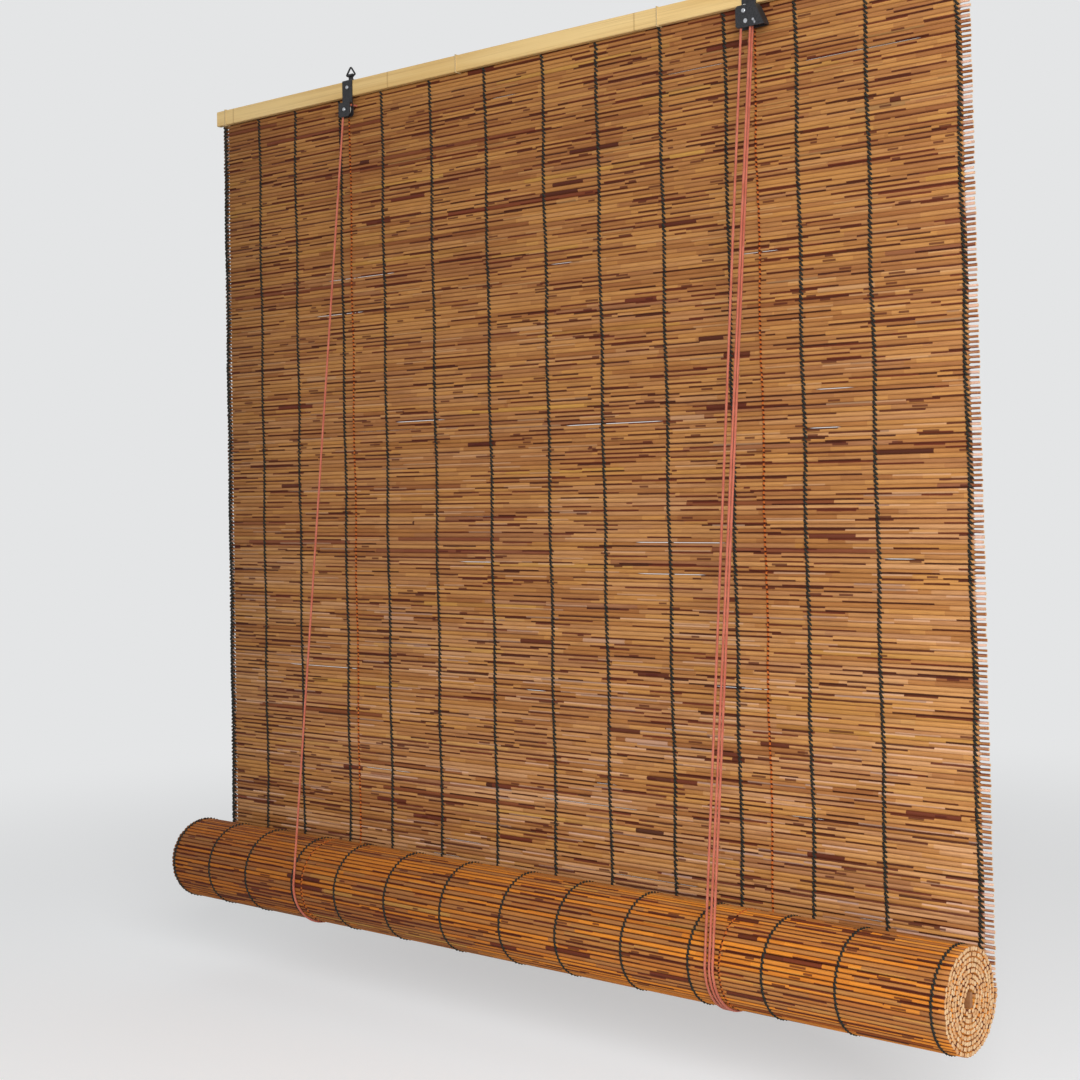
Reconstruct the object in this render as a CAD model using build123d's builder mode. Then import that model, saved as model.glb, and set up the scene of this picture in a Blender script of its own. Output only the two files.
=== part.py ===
from build123d import *
from math import atan, asin, cos, degrees, hypot, pi, radians, sin, tan
import os

# Bamboo roller shade. Millimetres. X runs along the width, -Y faces the room, +Z is up.
# The origin lies on the line where the two wall hooks bear in the hanger rings, at mid width.

# Reed mat
mat_width = 1200.0
mat_thickness = 4.2
reed_pitch = 5.2
groove_depth = 0.9
hanging_reeds = 200
slit_height = 0.9
slit_count = 26
slit_shortest = 50.0
slit_longest = 210.0

# Roll at the foot of the mat
roll_radius = 54.0
turn_pitch = 5.2
core_radius = 8.0
slat_thickness = 5.0

# Head rail: two battens with the top of the mat between them
rail_height = 21.2
batten_thickness = 8.0
rail_overhang = 3.0

# Warp threads, as shares of the mat's width from its left edge
warp_places = [0.004, 0.068, 0.132, 0.210, 0.278, 0.354, 0.435, 0.516, 0.588, 0.668, 0.745, 0.824, 0.898, 0.988]
marker_places = [0.2255, 0.779]
warp_width = 2.2
marker_width = 1.2
thread_thickness = 0.8

# Ties of plain thread round the head rail, as shares of the width
tie_places = [0.0133, 0.400, 0.671, 0.983]
tie_diameter = 1.0

# Hangers: a folded strap over the rail with a ring on top and a pulley below
hanger_left_place = 0.2308
hanger_right_place = 0.7792
strap_width = 19.0
sheet_thickness = 1.2
bend_radius = 1.2
ring_wire = 2.4
ring_leg_angle = 50.0
ring_base_drop = 10.8
ring_corner = 2.0
ring_chords = 3
ring_sides = 8
lug_width = 8.0
hook_to_rail = 18.0
hook_to_mat = 2.0
anchor_drop = 2.6
anchor_margin = 4.0
rivet_shank = 3.0
rivet_head = 5.4
rivet_head_height = 1.1
rivet_head_sides = 12
hole_sides = 8
strap_rivet_drop = 9.0

# Pulleys
wheel_radius = 7.5
wheel_groove_radius = 4.8
wheel_width = 4.2
wheel_rim_sides = 24
left_wheel_drop = 18.5
right_wheel_drop = 9.7
cheek_width = 22.0
cheek_above_axle = 9.6
cheek_below_axle = 9.8
cheek_corner = 2.5

# Cord lock: housing widening downward on its right, with a knurled roller in slanted slots
lock_left = 11.0
lock_right_top = 15.0
lock_right_bottom = 27.0
lock_above_axle = 6.5
lock_below_axle = 18.5
lock_roller_radius = 4.2
lock_roller_drop = 4.0
lock_roller_travel = 3.5
lock_roller_teeth = 12
lock_tooth_height = 0.4
trunnion_diameter = 3.0
anvil_diameter = 5.0

# Cords
cord_diameter = 2.8
cord_sides = 6
left_cord_drift = -19.0
right_cord_drift = -17.0
front_pull_drift = -11.4
rear_pull_drift = -7.0
pull_wrap_angle = 100.0
exit_below_axle = 17.3
knot_diameter = 7.0
fairlead_diameter = 4.6
cord_bend = 4.2
cord_behind_mat = 2.6
fairlead_offset = 1.2

# Clearances
running_gap = 0.3
seat_gap = 0.1
pin_gap = 0.05

# Levels and planes that follow from the sizes above
hanger_left_x = (hanger_left_place - 0.5) * mat_width
hanger_right_x = (hanger_right_place - 0.5) * mat_width
left_cord_at_roll = hanger_left_x + left_cord_drift
right_cord_at_roll = hanger_right_x + right_cord_drift
front_pull_at_roll = hanger_right_x + front_pull_drift
rear_pull_at_roll = hanger_right_x + rear_pull_drift
rail_top = -hook_to_rail
rail_bottom = rail_top - rail_height
mat_front = hook_to_mat
mat_back = mat_front + mat_thickness
front_batten_face = mat_front - seat_gap - batten_thickness
back_batten_face = mat_back + seat_gap + batten_thickness
roll_z = rail_bottom - hanging_reeds * reed_pitch
roll_y = mat_back - roll_radius
mat_bottom = roll_z + running_gap
strap_back = front_batten_face - seat_gap
strap_front = strap_back - sheet_thickness
saddle_back_face = back_batten_face + seat_gap
plate_gap = 2 * wheel_width + 3 * running_gap
cheek_back = strap_front - plate_gap
rear_wheel_y = strap_front - running_gap - wheel_width / 2
front_wheel_y = rear_wheel_y - wheel_width - running_gap
left_gap = wheel_width + 2 * running_gap
left_cheek_back = strap_front - left_gap
left_wheel_y = strap_front - left_gap / 2
left_axle_z = rail_bottom - left_wheel_drop
right_axle_z = rail_bottom - right_wheel_drop
cord_radius = cord_diameter / 2
cord_on_wheel = wheel_groove_radius + cord_radius
over_threads = seat_gap + thread_thickness + running_gap
cord_on_roll = roll_radius + over_threads + cord_radius
clamped_reeds = int((rail_height - running_gap) / reed_pitch)
strap_rivet_z = rail_top - strap_rivet_drop
anchor_z = rail_bottom - anchor_drop
hanger_places = (hanger_left_x, hanger_right_x)
left_exit_z = left_axle_z - cheek_below_axle + running_gap
right_exit_z = right_axle_z - exit_below_axle
ring_pivot_z = -ring_base_drop + ring_wire / 2

os.makedirs("parts", exist_ok=True)


def save(builder, name):
    """Label a finished piece and write it under its node's name."""
    builder.part.label = name
    export_step(builder.part, f"parts/{name}.step")


def facing(y):
    """The plane at depth y that looks into the room: its X is the part's X, its Y is up."""
    return Plane.XZ.offset(-y)


def from_left_edge(place):
    return (place - 0.5) * mat_width


def clearance_hole(x, z, radius):
    """A faceted hole that a round shank of that radius passes, in the current sketch."""
    with Locations((x, z)):
        RegularPolygon(radius, hole_sides, major_radius=False, mode=Mode.SUBTRACT)


def punch(back_face, x, z, radius):
    """The same hole through one plate or batten, cut forward from its back face."""
    with BuildSketch(facing(back_face)) as hole:
        with Locations((x, z)):
            RegularPolygon(radius, hole_sides, major_radius=False)
    extrude(hole.sketch, amount=batten_thickness, mode=Mode.SUBTRACT)


def side_section(x):
    """The plane across the shade at x, with the part's Y and Z as its own axes."""
    return Plane.YZ.offset(x)


# Head rail
def batten(name, back_face):
    """One long batten with its arrises eased."""
    with BuildPart() as piece:
        with Locations((0, back_face - batten_thickness / 2, rail_bottom + rail_height / 2)):
            Box(mat_width + 2 * rail_overhang, batten_thickness, rail_height)
        chamfer(piece.edges().filter_by(Axis.X), length=0.8)
        for x in hanger_places:
            punch(back_face, x, strap_rivet_z, rivet_shank / 2 + pin_gap)
    save(piece, name)


batten("head_rail_front", mat_front - seat_gap)
batten("head_rail_back", back_batten_face)

# Each tie is a closed loop round both battens that passes through the mat below the rail
tie_window = tie_diameter + 2 * running_gap
tie_under_z = rail_bottom - seat_gap - tie_diameter / 2
with BuildPart() as rail_ties:
    loop_depth = back_batten_face - front_batten_face + 2 * seat_gap
    loop_height = rail_height + 2 * seat_gap
    loop_centre = ((front_batten_face + back_batten_face) / 2, rail_bottom + rail_height / 2)
    for place in tie_places:
        with BuildSketch(side_section(from_left_edge(place) - tie_diameter / 2)):
            with Locations(loop_centre):
                Rectangle(loop_depth + 2 * tie_diameter, loop_height + 2 * tie_diameter)
                Rectangle(loop_depth, loop_height, mode=Mode.SUBTRACT)
        extrude(amount=tie_diameter)
save(rail_ties, "rail_ties")


# Reed mat: every reed is a ridge on both faces, and the slits lie in grooves between reeds
def ridge_line(base, outward):
    """Groove and crest points of one face, from the foot of the mat to its top."""
    reeds = hanging_reeds + clamped_reeds
    points = []
    for reed in range(reeds):
        z = mat_bottom + reed * reed_pitch
        points.append((base - outward * groove_depth, z))
        points.append((base, z + reed_pitch / 2))
    points.append((base - outward * groove_depth, mat_bottom + reeds * reed_pitch))
    return points


def share(number, step):
    """An even spread of shares from 0 to 1, one for each number."""
    return number * step % 1


left_fairlead = (hanger_left_x + cord_on_wheel + fairlead_offset, left_axle_z + cord_on_wheel)
right_fairlead = (hanger_right_x - lock_left - cord_radius - 2 * running_gap, right_axle_z + cord_on_wheel)

with BuildPart() as reed_mat:
    with BuildSketch(side_section(-mat_width / 2)):
        with BuildLine():
            Polyline(*ridge_line(mat_front, -1), *reversed(ridge_line(mat_back, 1)), close=True)
        make_face()
    extrude(amount=mat_width)
    mat_middle = (mat_front + mat_back) / 2
    edge_margin = 30.0
    through = 2 * mat_thickness
    cuts = []
    for number in range(1, slit_count + 1):
        length = slit_shortest + (slit_longest - slit_shortest) * share(number, 0.7549) ** 2
        reach = mat_width - 2 * edge_margin - length
        x = -mat_width / 2 + edge_margin + length / 2 + reach * share(number, 0.6180) ** 0.7
        groove = 2 + int((hanging_reeds - 6) * share(number, 0.5698) ** 1.5)
        slit = Box(length, through, slit_height, mode=Mode.PRIVATE)
        cuts.append(Pos(x, mat_middle, mat_bottom + groove * reed_pitch) * slit)
    cord_window = Box(fairlead_diameter, through, fairlead_diameter, mode=Mode.PRIVATE)
    tie_hole = Box(tie_window, through, tie_window, mode=Mode.PRIVATE)
    rivet_window = Box(rivet_shank + running_gap, through, rivet_shank + running_gap, mode=Mode.PRIVATE)
    for x, z in (left_fairlead, right_fairlead):
        cuts.append(Pos(x, mat_middle, z) * cord_window)
    for x in hanger_places:
        cuts.append(Pos(x, mat_middle, strap_rivet_z) * rivet_window)
    for place in tie_places:
        cuts.append(Pos(from_left_edge(place), mat_middle, tie_under_z) * tie_hole)
    add(cuts, mode=Mode.SUBTRACT)
save(reed_mat, "reed_mat")


def thread_lines(name, places, width, faces):
    """Stitched columns that run down a face of the mat, from the rail to the roll."""
    with BuildPart() as piece:
        height = rail_bottom - seat_gap - mat_bottom
        for place in places:
            for y in faces:
                with Locations((from_left_edge(place), y, mat_bottom + height / 2)):
                    Box(width, thread_thickness, height)
    save(piece, name)


front_thread_y = mat_front - seat_gap - thread_thickness / 2
back_thread_y = mat_back + seat_gap + thread_thickness / 2
thread_lines("warp_threads_front", warp_places, warp_width, [front_thread_y])
thread_lines("warp_threads_back", warp_places, warp_width, [back_thread_y])
thread_lines("marker_threads", marker_places, marker_width, [front_thread_y, back_thread_y])


# Roll: the wound length of the mat, as a spiral of half circles on two centres
half_turns = 1 + int((roll_radius - mat_thickness - core_radius) / (turn_pitch / 2))


def turn_point(half, part_way, depth):
    """A point of the spiral, part of the way round one half turn, that far under its outside."""
    angle = radians(-180 * (half + part_way))
    radius = roll_radius - half * turn_pitch / 2 - depth
    centre_y = roll_y - (turn_pitch / 2 if half % 2 else 0)
    return (centre_y + radius * cos(angle), roll_z + radius * sin(angle))


def half_arc(half, depth):
    """The three points that set one half turn's arc."""
    return [turn_point(half, part_way, depth) for part_way in (0, 0.5, 1)]


reeds_per_half = round(pi * roll_radius / reed_pitch)
outer_ridges = []
for half in (0, 1):
    for reed in range(reeds_per_half):
        outer_ridges.append(turn_point(half, reed / reeds_per_half, groove_depth))
        outer_ridges.append(turn_point(half, (reed + 0.5) / reeds_per_half, 0))
outer_ridges[0] = turn_point(0, 0, 0)
outer_ridges.append(turn_point(2, 0, 0))

with BuildPart() as reed_roll:
    with BuildSketch(side_section(-mat_width / 2)):
        with BuildLine():
            Polyline(*outer_ridges)
            for half in range(2, half_turns):
                ThreePointArc(*half_arc(half, 0))
            Line(turn_point(half_turns - 1, 1, 0), turn_point(half_turns - 1, 1, mat_thickness))
            for half in range(half_turns):
                ThreePointArc(*half_arc(half, mat_thickness))
            Line(turn_point(0, 0, mat_thickness), turn_point(0, 0, 0))
        make_face()
    extrude(amount=mat_width)
save(reed_roll, "reed_roll")

# A flat slat is the core on which the mat is wound
slat_width = 2 * (core_radius**2 - (slat_thickness / 2) ** 2) ** 0.5 - 2 * seat_gap
with BuildPart() as core_slat:
    with Locations((0, roll_y, roll_z)):
        Box(mat_width, slat_thickness, slat_width)
    chamfer(core_slat.edges().filter_by(Axis.X), length=seat_gap)
save(core_slat, "core_slat")


# Hanger straps: folded over the rail, with the back plate of the pulley below in one piece
def saddle(x):
    """The strap's fold over the rail and its knuckle for the ring, in the current part."""
    front_line = strap_back - sheet_thickness / 2
    back_line = saddle_back_face + sheet_thickness / 2
    top_line = rail_top + seat_gap + sheet_thickness / 2
    knuckle_radius = ring_wire / 2 + pin_gap + sheet_thickness
    with BuildSketch(side_section(x - strap_width / 2)) as fold:
        with BuildLine():
            FilletPolyline(
                (front_line, rail_bottom - cheek_corner),
                (front_line, top_line),
                (back_line, top_line),
                (back_line, anchor_z - anchor_margin),
                radius=bend_radius,
            )
        trace(line_width=sheet_thickness)
    extrude(fold.sketch, amount=strap_width)
    with BuildSketch(side_section(x - lug_width / 2)) as lug:
        with Locations((0, (top_line + ring_pivot_z) / 2)):
            Rectangle(sheet_thickness, ring_pivot_z - top_line)
        with Locations((0, ring_pivot_z)):
            Circle(knuckle_radius)
            Circle(ring_wire / 2 + pin_gap, mode=Mode.SUBTRACT)
    extrude(lug.sketch, amount=lug_width)


def strap_holes(x, axle_z):
    """Holes of the strap's rivet, the pulley's axle and the cord's fixed end."""
    punch(strap_back, x, strap_rivet_z, rivet_shank / 2 + pin_gap)
    punch(strap_back, x, axle_z, rivet_shank / 2 + pin_gap)
    punch(saddle_back_face + sheet_thickness, x, strap_rivet_z, rivet_shank / 2 + pin_gap)
    punch(saddle_back_face + sheet_thickness, x, anchor_z, cord_radius + running_gap)


with BuildPart() as left_strap:
    saddle(hanger_left_x)
    with BuildSketch(facing(strap_back)) as left_back_plate:
        with Locations((hanger_left_x, left_axle_z + (cheek_above_axle - cheek_below_axle) / 2)):
            Rectangle(cheek_width, cheek_above_axle + cheek_below_axle)
        chamfer(left_back_plate.vertices(), length=cheek_corner)
        with Locations((hanger_left_x, (left_axle_z + rail_bottom) / 2)):
            Rectangle(strap_width, rail_bottom - left_axle_z)
        clearance_hole(*left_fairlead, fairlead_diameter / 2)
    extrude(amount=sheet_thickness)
    strap_holes(hanger_left_x, left_axle_z)
save(left_strap, "left_hanger_strap")


def lock_outline():
    """Corner points of the lock's plates: upright on the left, widening downward on the right."""
    top = right_axle_z + lock_above_axle
    bottom = right_axle_z - lock_below_axle
    return [
        (hanger_right_x - lock_left, bottom),
        (hanger_right_x - lock_left, top),
        (hanger_right_x + lock_right_top, top),
        (hanger_right_x + lock_right_bottom, bottom),
    ]


wall_lean = degrees(atan((lock_right_bottom - lock_right_top) / (lock_above_axle + lock_below_axle)))
roller_x = hanger_right_x + cord_on_wheel + cord_radius + lock_roller_radius + lock_tooth_height + seat_gap
roller_z = right_axle_z - wheel_radius - lock_roller_drop
slot_run = (lock_roller_travel * sin(radians(wall_lean)), -lock_roller_travel * cos(radians(wall_lean)))
slot_centre = (roller_x + slot_run[0] / 2, roller_z + slot_run[1] / 2)
slot_width = trunnion_diameter + 2 * running_gap
anvil_x = hanger_right_x + cord_on_wheel - cord_radius - seat_gap - anvil_diameter / 2


def lock_plate_holes():
    """The slanted slot of the roller's trunnions, with the holes of the axle and the anvil."""
    with Locations(Location((*slot_centre, 0), 90 + wall_lean)):
        SlotCenterToCenter(lock_roller_travel, slot_width, mode=Mode.SUBTRACT)
    clearance_hole(anvil_x, roller_z, anvil_diameter / 2 + pin_gap)


with BuildPart() as right_strap:
    saddle(hanger_right_x)
    with BuildSketch(facing(strap_back)) as right_back_plate:
        Polygon(*lock_outline(), align=None)
        chamfer(right_back_plate.vertices(), length=cheek_corner)
        with Locations((hanger_right_x, (right_axle_z + rail_bottom) / 2)):
            Rectangle(strap_width, rail_bottom - right_axle_z)
        lock_plate_holes()
    extrude(amount=sheet_thickness)
    strap_holes(hanger_right_x, right_axle_z)
save(right_strap, "right_hanger_strap")

# Front cheek of the left pulley, with its top edge turned back to meet the strap
with BuildPart() as left_cheek:
    with BuildSketch(facing(left_cheek_back)) as cheek_face:
        with Locations((hanger_left_x, left_axle_z + (cheek_above_axle - cheek_below_axle) / 2)):
            Rectangle(cheek_width, cheek_above_axle + cheek_below_axle)
        chamfer(cheek_face.vertices().sort_by(Axis.Y)[:2], length=cheek_corner)
        clearance_hole(hanger_left_x, left_axle_z, rivet_shank / 2 + pin_gap)
    extrude(amount=sheet_thickness)
    flange_z = left_axle_z + cheek_above_axle - sheet_thickness / 2
    with Locations((hanger_left_x, left_cheek_back + (left_gap - seat_gap) / 2, flange_z)):
        Box(strap_width, left_gap - seat_gap, sheet_thickness)
save(left_cheek, "left_pulley_cheek")

# Lock housing: a front plate with its slanted side turned back to meet the strap
with BuildPart() as lock_housing:
    with BuildSketch(facing(cheek_back)) as lock_face:
        Polygon(*lock_outline(), align=None)
        chamfer(lock_face.vertices().group_by(Axis.X)[0], length=cheek_corner)
        lock_plate_holes()
        clearance_hole(hanger_right_x, right_axle_z, rivet_shank / 2 + pin_gap)
    extrude(amount=sheet_thickness)
    with BuildSketch(facing(strap_front - seat_gap)):
        low, high = lock_outline()[3], lock_outline()[2]
        across = sheet_thickness / cos(radians(wall_lean))
        Polygon(low, high, (high[0] - across, high[1]), (low[0] - across, low[1]), align=None)
    extrude(amount=plate_gap - seat_gap)
save(lock_housing, "cord_lock_housing")


# Pins, rivets and wheels lie across the shade, from front to back
def across(x, y, z):
    """A place whose own axis runs from front to back."""
    return Location((x, y, z), (90, 0, 0))


def pin(x, z, front, back):
    """A shank from front to back with a flat head at each end, in the current part."""
    with Locations(across(x, (front + back) / 2, z)):
        Cylinder(rivet_shank / 2, back - front)
    for rear_face in (front, back + rivet_head_height):
        with BuildSketch(facing(rear_face)) as head:
            with Locations((x, z)):
                RegularPolygon(rivet_head / 2, rivet_head_sides)
        extrude(head.sketch, amount=rivet_head_height)


with BuildPart() as pulley_axles:
    pin(hanger_left_x, left_axle_z, left_cheek_back - sheet_thickness, strap_back)
    pin(hanger_right_x, right_axle_z, cheek_back - sheet_thickness, strap_back)
save(pulley_axles, "pulley_axles")

with BuildPart() as strap_rivets:
    for x in hanger_places:
        pin(x, strap_rivet_z, strap_front, saddle_back_face + sheet_thickness)
save(strap_rivets, "strap_rivets")

with BuildPart() as lock_anvil:
    with Locations(across(anvil_x, cheek_back + plate_gap / 2, roller_z)):
        Cylinder(anvil_diameter / 2, plate_gap + 2 * sheet_thickness)
save(lock_anvil, "cord_lock_anvil")


def wheel(name, x, y, z):
    """A flanged wheel with a running bore, whose round floor carries the cord."""
    flange = (wheel_width - cord_diameter - 4 * seat_gap) / 2
    with BuildPart() as piece:
        with Locations(across(x, y, z)):
            Cylinder(wheel_groove_radius, wheel_width)
        for back_face in (y + wheel_width / 2, y - wheel_width / 2 + flange):
            with BuildSketch(facing(back_face)):
                with Locations((x, z)):
                    RegularPolygon(wheel_radius, wheel_rim_sides)
            extrude(amount=flange)
        with Locations(across(x, y, z)):
            Cylinder(rivet_shank / 2 + pin_gap, wheel_width, mode=Mode.SUBTRACT)
    save(piece, name)


wheel("left_pulley_wheel", hanger_left_x, left_wheel_y, left_axle_z)
wheel("lock_front_wheel", hanger_right_x, front_wheel_y, right_axle_z)
wheel("lock_rear_wheel", hanger_right_x, rear_wheel_y, right_axle_z)

# Knurled roller: a toothed drum between the plates, with trunnions that ride in the slots
with BuildPart() as lock_roller:
    with BuildSketch(facing(strap_front - running_gap)):
        with BuildLine():
            knurl = []
            for tooth in range(2 * lock_roller_teeth):
                reach = lock_roller_radius + (lock_tooth_height if tooth % 2 else 0)
                angle = pi * tooth / lock_roller_teeth
                knurl.append((roller_x + reach * cos(angle), roller_z + reach * sin(angle)))
            Polyline(*knurl, close=True)
        make_face()
    extrude(amount=plate_gap - 2 * running_gap)
    with Locations(across(roller_x, cheek_back + plate_gap / 2, roller_z)):
        Cylinder(trunnion_diameter / 2, plate_gap + 2 * sheet_thickness)
save(lock_roller, "cord_lock_roller")


# Hanger rings: a wire bent to a triangle, its straight side held in the strap's knuckle
def ring_line(x):
    """Centre line of the wire, each corner eased in short chords."""
    rise = ring_corner / cos(radians(ring_leg_angle)) - ring_corner
    half = (ring_wire / 2 + rise - ring_pivot_z) / tan(radians(ring_leg_angle))
    corner_x = half - ring_corner * tan(radians(90 - ring_leg_angle / 2))
    corners = [
        (-corner_x, ring_pivot_z + ring_corner, 90 + ring_leg_angle, 270),
        (corner_x, ring_pivot_z + ring_corner, -90, 90 - ring_leg_angle),
        (0, ring_wire / 2 - ring_corner, 90 - ring_leg_angle, 90 + ring_leg_angle),
    ]
    points = []
    for centre_x, centre_z, start, end in corners:
        for chord in range(ring_chords + 1):
            angle = radians(start + (end - start) * chord / ring_chords)
            points.append((x + centre_x + ring_corner * cos(angle), 0, centre_z + ring_corner * sin(angle)))
    return points


def hanger_ring(name, x):
    with BuildPart() as piece:
        with BuildLine() as loop:
            Polyline(*ring_line(x), close=True)
        with BuildSketch(Plane(origin=loop.line @ 0, z_dir=loop.line % 0)):
            RegularPolygon(ring_wire / 2, ring_sides)
        sweep(path=loop.line, transition=Transition.RIGHT)
    save(piece, name)


hanger_ring("left_hanger_ring", hanger_left_x)
hanger_ring("right_hanger_ring", hanger_right_x)


# Cords: straight runs and tangent arcs, each piece ending face to face with the next
def corner_radii(points):
    """The largest round for each corner: 0.45 of the shorter run over the tangent of half the turn."""
    radii = []
    for before, here, after in zip(points, points[1:], points[2:]):
        arrive = Vector(*here) - Vector(*before)
        leave = Vector(*after) - Vector(*here)
        half_turn = radians(arrive.get_angle(leave)) / 2
        radii.append(0.45 * min(arrive.length, leave.length) / tan(half_turn))
    return radii


def cord(name, points, radii=None):
    """A cord along straight runs and tangent arcs, as a solid by itself."""
    with BuildPart() as run:
        with BuildLine() as route:
            FilletPolyline(*points, radius=radii or corner_radii(points))
        with BuildSketch(Plane(origin=points[0], z_dir=Vector(*points[1]) - Vector(*points[0]))):
            RegularPolygon(cord_radius, cord_sides)
        sweep(path=route.line)
    report_cord(name, sum(edge.length for edge in route.edges()), run.part)
    return run.part


def taut_cord(name, top, foot):
    """A cord pulled straight from one point to another, as a solid by itself."""
    along = Vector(*foot) - Vector(*top)
    with BuildPart() as run:
        with BuildSketch(Plane(origin=top, z_dir=along)):
            RegularPolygon(cord_radius, cord_sides)
        extrude(amount=along.length)
    report_cord(name, along.length, run.part)
    return run.part


def wrapped_cord(name, x, start, span):
    """A cord round the roll, in an arc of its own size, as a solid by itself."""
    with BuildPart() as run:
        with BuildLine(side_section(x)) as round_roll:
            CenterArc((roll_y, roll_z), cord_on_roll, start, span)
        with BuildSketch(Plane(origin=round_roll.line @ 0, z_dir=round_roll.line % 0)):
            RegularPolygon(cord_radius, cord_sides)
        sweep(path=round_roll.line)
    report_cord(name, radians(span) * cord_on_roll, run.part)
    return run.part


def report_cord(name, length, solid):
    print(name, "length", round(length, 1), "section times length", round(length * cord_section, 1), end=" ")
    print("volume", round(solid.volume, 1))


def knot(centre, direction):
    """A pulled-tight stopper knot, as a faceted barrel, in the current part."""
    with BuildSketch(Plane(origin=centre, z_dir=direction)) as waist:
        RegularPolygon(knot_diameter / 2, cord_sides)
    extrude(waist.sketch, amount=knot_diameter / 2, both=True)


def save_group(name, solids):
    """Writes one or more solids as one node."""
    with BuildPart() as group:
        for solid in solids:
            add(solid)
    save(group, name)


cord_section = cord_sides / 2 * cord_radius**2 * sin(2 * pi / cord_sides)
strand_lean = atan((roll_y - left_wheel_y) / (roll_z - left_exit_z))
strand_reach = hypot(roll_y - left_wheel_y, roll_z - left_exit_z)
tangent_lean = strand_lean + asin(cord_on_roll / strand_reach)
front_touch = (roll_y - cord_on_roll * cos(tangent_lean), roll_z + cord_on_roll * sin(tangent_lean))
run_join = running_gap / 2
back_run_y = mat_back + over_threads + cord_radius
back_run_top = anchor_z - 2 * cord_bend


def front_run(name, x_top, y_top, z_top, x_roll, end_gap):
    """A taut strand from a pulley down to the front of the roll."""
    touch = (x_roll, front_touch[0], front_touch[1] + end_gap)
    return taut_cord(name, (x_top, y_top, z_top - run_join), touch)


def back_run(name, x_roll, x_top):
    """A taut strand behind the mat, from the back of the roll up to the tied end."""
    top = (x_top, back_run_y, back_run_top - run_join)
    save_group(name, [taut_cord(name, top, (x_roll, back_run_y, roll_z + running_gap))])


lift_x = hanger_right_x - cord_on_wheel
pull_x = hanger_right_x + cord_on_wheel
left_run = front_run(
    "left lift run", hanger_left_x - cord_on_wheel, left_wheel_y, left_exit_z, left_cord_at_roll, running_gap
)
right_run = front_run("right lift run", lift_x, front_wheel_y, right_exit_z, right_cord_at_roll, running_gap)
save_group("left_lift_front_run", [left_run])
save_group("right_lift_front_run", [right_run])
back_run("left_lift_back_run", left_cord_at_roll, hanger_left_x)
back_run("right_lift_back_run", right_cord_at_roll, hanger_right_x)

# Tied ends: up behind the mat, then back through each strap's hole to a knot
tied_end_y = saddle_back_face + sheet_thickness + seat_gap + knot_diameter / 2
tied_ends = []
for x in hanger_places:
    route = [(x, back_run_y, back_run_top), (x, back_run_y, anchor_z), (x, tied_end_y, anchor_z)]
    tied_ends.append(cord("tied end", route, radii=[cord_bend]))
with BuildPart() as lift_cord_tied_ends:
    for tied_end, x in zip(tied_ends, hanger_places):
        add(tied_end)
        knot((x, tied_end_y, anchor_z), (0, 1, 0))
save(lift_cord_tied_ends, "lift_cord_tied_ends")

# The slings: both lifting cords pass under the roll
front_angle = 180 - degrees(tangent_lean)
left_sling = wrapped_cord("left sling", left_cord_at_roll, front_angle, 360 - front_angle)
right_sling = wrapped_cord("right sling", right_cord_at_roll, front_angle, 360 - front_angle)
save_group("lift_cord_slings", [left_sling, right_sling])

# Over the wheels. The left cord goes back through the mat, along behind it and over the lock's rear wheel
behind_y = mat_back + cord_behind_mat + cord_radius
left_top = left_axle_z + cord_on_wheel
right_top = right_axle_z + cord_on_wheel
crossing_cord = cord(
    "left cord over its wheel and across",
    [
        (hanger_left_x - cord_on_wheel, left_wheel_y, left_exit_z),
        (hanger_left_x - cord_on_wheel, left_wheel_y, left_top),
        (left_fairlead[0], left_wheel_y, left_top),
        (left_fairlead[0], behind_y, left_top),
        (right_fairlead[0], behind_y, right_top),
        (right_fairlead[0], rear_wheel_y, right_top),
        (pull_x, rear_wheel_y, right_top),
        (pull_x, rear_wheel_y, right_exit_z),
    ],
    radii=[cord_on_wheel, cord_bend, cord_bend, cord_bend, cord_bend, cord_on_wheel],
)
turning_cord = cord(
    "right cord over its wheel",
    [
        (lift_x, front_wheel_y, right_exit_z),
        (lift_x, front_wheel_y, right_top),
        (pull_x, front_wheel_y, right_top),
        (pull_x, front_wheel_y, right_exit_z),
    ],
    radii=[cord_on_wheel - pin_gap, cord_on_wheel - pin_gap],
)
save_group("lift_cords_over_wheels", [crossing_cord, turning_cord])

# Pull cords: from the lock down to the front of the roll, then under it to their common knot
for name, wheel_y, x in (
    ("front_pull_cord", front_wheel_y, front_pull_at_roll),
    ("rear_pull_cord", rear_wheel_y, rear_pull_at_roll),
):
    pull_run = front_run(name + " run", pull_x, wheel_y, right_exit_z, x, seat_gap)
    pull_wrap = wrapped_cord(name + " end", x, front_angle, pull_wrap_angle)
    save_group(name, [pull_run, pull_wrap])

knot_on_roll = cord_on_roll + knot_diameter / 2 - cord_radius
knot_angle = radians(front_angle + pull_wrap_angle + degrees((knot_diameter / 2 + running_gap) / cord_on_roll))
knot_place = (
    (front_pull_at_roll + rear_pull_at_roll) / 2,
    roll_y + knot_on_roll * cos(knot_angle),
    roll_z + knot_on_roll * sin(knot_angle),
)
with BuildPart() as pull_knot:
    knot(knot_place, (0, -sin(knot_angle), cos(knot_angle)))
save(pull_knot, "pull_cord_knot")

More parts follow.
